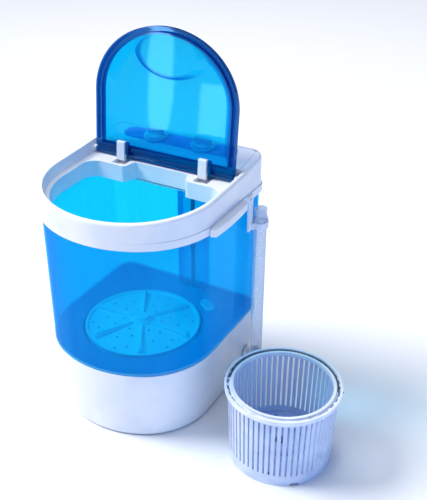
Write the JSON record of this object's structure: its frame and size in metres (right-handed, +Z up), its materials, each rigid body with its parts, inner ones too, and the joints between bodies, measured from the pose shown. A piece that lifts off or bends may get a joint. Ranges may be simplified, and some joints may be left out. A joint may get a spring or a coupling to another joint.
{
  "type": "portable mini washer",
  "caption": "Small portable top-loading washer: clear blue tub, white base and collar, hinged clear lid, drain hose and separate slotted spin basket.",
  "frame": {"origin": "on the floor under the feet, on the pulsator's upright axis", "axes": "+Z up; -Y to the round front of the washer, +Y to its flat back; +X to the side with the drain hose and the basket"},
  "size_m": [0.587, 0.344, 0.6764],
  "materials": {
    "white_abs": "glossy injection-moulded ABS",
    "clear_blue_tub": "clear blue tinted styrene, polished mould",
    "clear_blue_lid": "clear blue tinted styrene, polished mould",
    "blue_print": "printed blue panel foil",
    "pulsator_pp": "satin polypropylene",
    "basket_pp": "glossy white polypropylene",
    "bail_wire": "bent steel wire",
    "hose_pe": "translucent corrugated polyethylene",
    "foot_rubber": "moulded rubber",
    "belt_rubber": "ribbed belt rubber",
    "steel": "turned steel",
    "zinc_screw": "zinc-plated screw",
    "motor_can": "painted steel can",
    "grey_nylon": "moulded nylon",
    "black_plastic": "moulded plastic"
  },
  "bodies": {
    "washer": {"base_housing": "white_abs", "bearing_housing": "grey_nylon", "bottom_cover": "white_abs", "channel_cover": "clear_blue_tub", "control_deck": "white_abs", "cord_gland": "black_plastic", "cover_screws": "zinc_screw", "deck_overlay": "blue_print", "drain_elbow": "white_abs", "drain_hose": "hose_pe", "drain_strainer": "pulsator_pp", "drain_switch": "grey_nylon", "drain_tube": "hose_pe", "drive_belt": "belt_rubber", "drive_motor": "motor_can", "foot_front_left": "foot_rubber", "foot_front_right": "foot_rubber", "foot_rear_left": "foot_rubber", "foot_rear_right": "foot_rubber", "hinge_pin_left": "steel", "hinge_pin_right": "steel", "hinge_saddle_left": "white_abs", "hinge_saddle_right": "white_abs", "hook_screw": "zinc_screw", "hose_collar": "hose_pe", "hose_cuff": "hose_pe", "hose_hook": "white_abs", "lower_bearing": "steel", "motor_bracket": "steel", "run_capacitor": "black_plastic", "shaft_seal": "foot_rubber", "side_grip_left": "white_abs", "side_grip_right": "white_abs", "splash_tray": "white_abs", "top_collar": "white_abs", "tub_skirt": "white_abs", "upper_bearing": "steel", "wash_timer": "grey_nylon", "wash_tub": "clear_blue_tub", "wire_loom": "black_plastic"},
    "lid": {"lid_frame": "clear_blue_lid", "lid_panel": "clear_blue_lid", "lid_barrel": "clear_blue_lid", "hinge_arm_left": "white_abs", "hinge_arm_right": "white_abs"},
    "timer": {"timer_knob": "white_abs", "timer_shaft": "steel"},
    "selector": {"selector_knob": "white_abs", "selector_shaft": "steel"},
    "agitator": {"pulsator": "pulsator_pp", "pulsator_cap": "pulsator_pp", "pulsator_shaft": "steel", "driven_pulley": "grey_nylon"},
    "rotor": {"motor_shaft": "steel", "motor_pulley": "grey_nylon"},
    "basket": {"basket_wall": "basket_pp", "basket_rim": "basket_pp", "basket_floor": "basket_pp"},
    "bail": {"basket_bail": "bail_wire"}
  },
  "joints": [
    {"name": "lid_hinge", "type": "hinge", "parent": "washer", "child": "lid", "pos_m": [0, 0.089, 0.437], "axis": [1, 0, 0], "range_deg": [0, 97.6]},
    {"name": "timer_turn", "type": "hinge", "parent": "washer", "child": "timer", "pos_m": [-0.05, 0.14552, 0.4577], "axis": [0, -0.1426, 0.9898], "range_deg": [-300, 0]},
    {"name": "selector_turn", "type": "hinge", "parent": "washer", "child": "selector", "pos_m": [0.05, 0.14552, 0.4577], "axis": [0, -0.1426, 0.9898], "range_deg": [-60, 60]},
    {"name": "agitator_spin", "type": "hinge", "parent": "washer", "child": "agitator", "pos_m": [0, 0, 0.1], "axis": [0, 0, 1], "continuous": true},
    {"name": "motor_spin", "type": "hinge", "parent": "washer", "child": "rotor", "pos_m": [-0.072, 0.066, 0.05], "axis": [0, 0, 1], "continuous": true},
    {"name": "basket_lift", "type": "slide", "parent": "washer", "child": "basket", "axis": [0, 0, 1], "range_m": [0, 0.3]},
    {"name": "bail_swing", "type": "hinge", "parent": "basket", "child": "bail", "pos_m": [0.3095, -0.0415, 0.1459], "axis": [0.9593, 0.2823, 0], "range_deg": [0, 180]}
  ],
  "couplings": [
    {"joint": "motor_spin", "follows": "agitator_spin", "ratio": 4}
  ]
}
